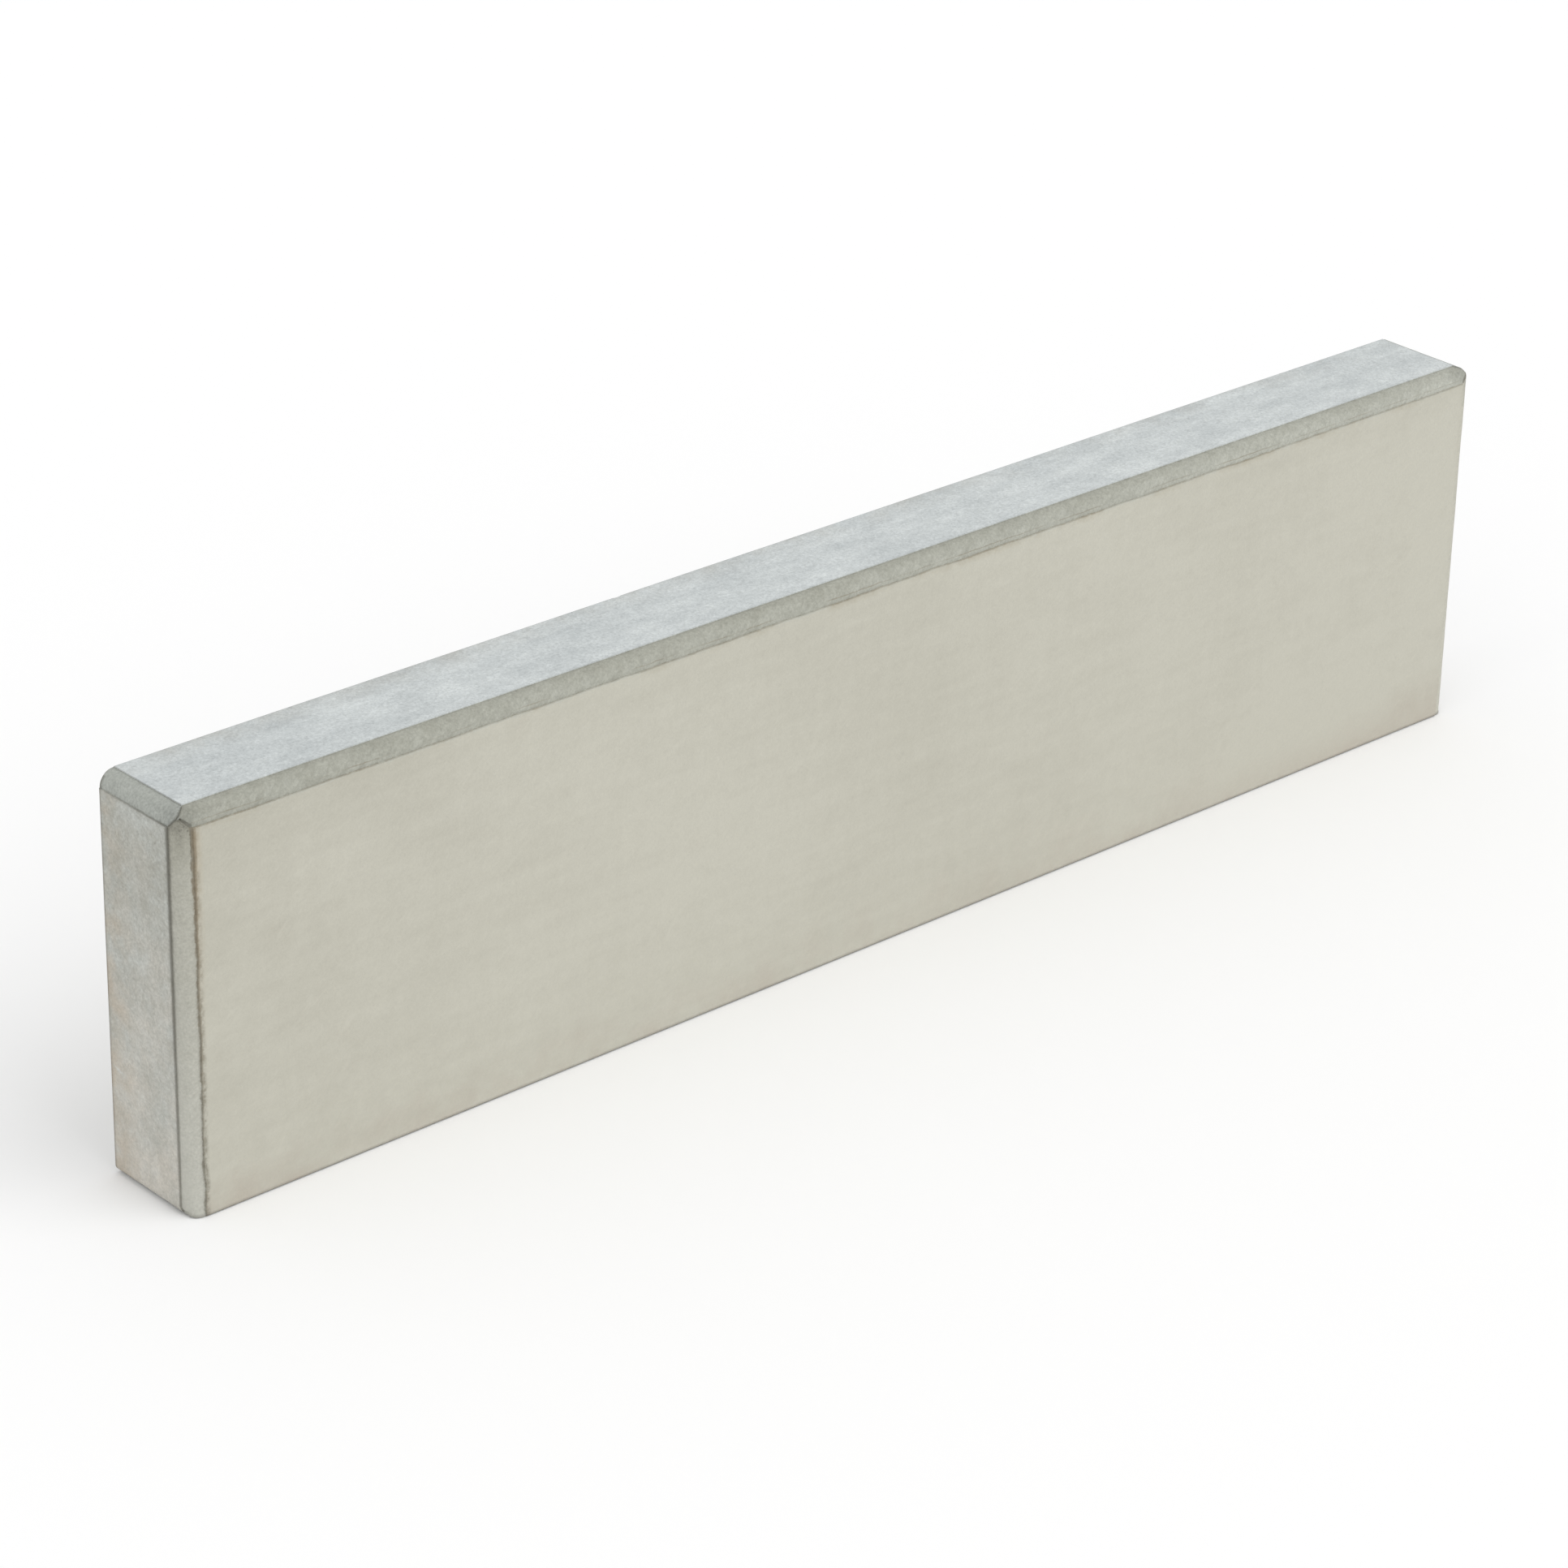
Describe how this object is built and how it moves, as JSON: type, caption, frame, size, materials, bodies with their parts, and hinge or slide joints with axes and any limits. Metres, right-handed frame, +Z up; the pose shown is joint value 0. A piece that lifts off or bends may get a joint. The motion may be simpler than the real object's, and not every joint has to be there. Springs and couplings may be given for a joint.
{
  "type": "concrete kerb stone",
  "caption": "Straight concrete kerb stone: a long upright slab with a smooth front face and small moulded rounds along its front and end edges, to edge a path or bed.",
  "frame": {"origin": "centre of the foot, on the ground", "axes": "+X along the length, +Y from the front face to the back face, +Z up"},
  "size_m": [1, 0.07, 0.24],
  "materials": {
    "concrete": "cast grey concrete, smooth cream front face, mottled grey top and ends, darker moulded edges"
  },
  "bodies": {
    "root": {"kerb_stone": "concrete"}
  },
  "joints": []
}
